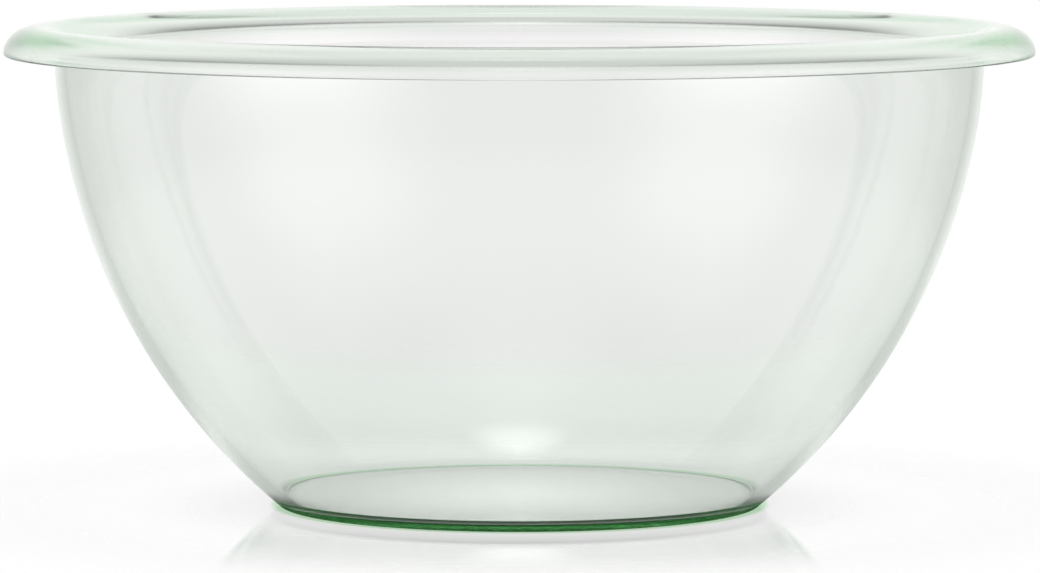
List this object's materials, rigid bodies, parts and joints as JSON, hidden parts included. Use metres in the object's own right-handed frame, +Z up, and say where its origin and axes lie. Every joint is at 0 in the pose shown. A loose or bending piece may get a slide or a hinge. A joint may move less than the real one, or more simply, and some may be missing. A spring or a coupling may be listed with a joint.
{
  "type": "salad bowl",
  "caption": "Deep round bowl of clear, faintly green glass with a curled lip and a flat foot, for serving salad.",
  "frame": {"origin": "centre of the foot, in the plane of the flat underside that the bowl stands on", "axes": "+Z up along the bowl's axis towards its open mouth; X and Y level, and alike because the bowl is round"},
  "size_m": [0.28, 0.28, 0.131],
  "materials": {
    "clear_glass": "fire-polished, clear with a faint green tint"
  },
  "bodies": {
    "root": {"glass_bowl": "clear_glass"}
  },
  "joints": []
}
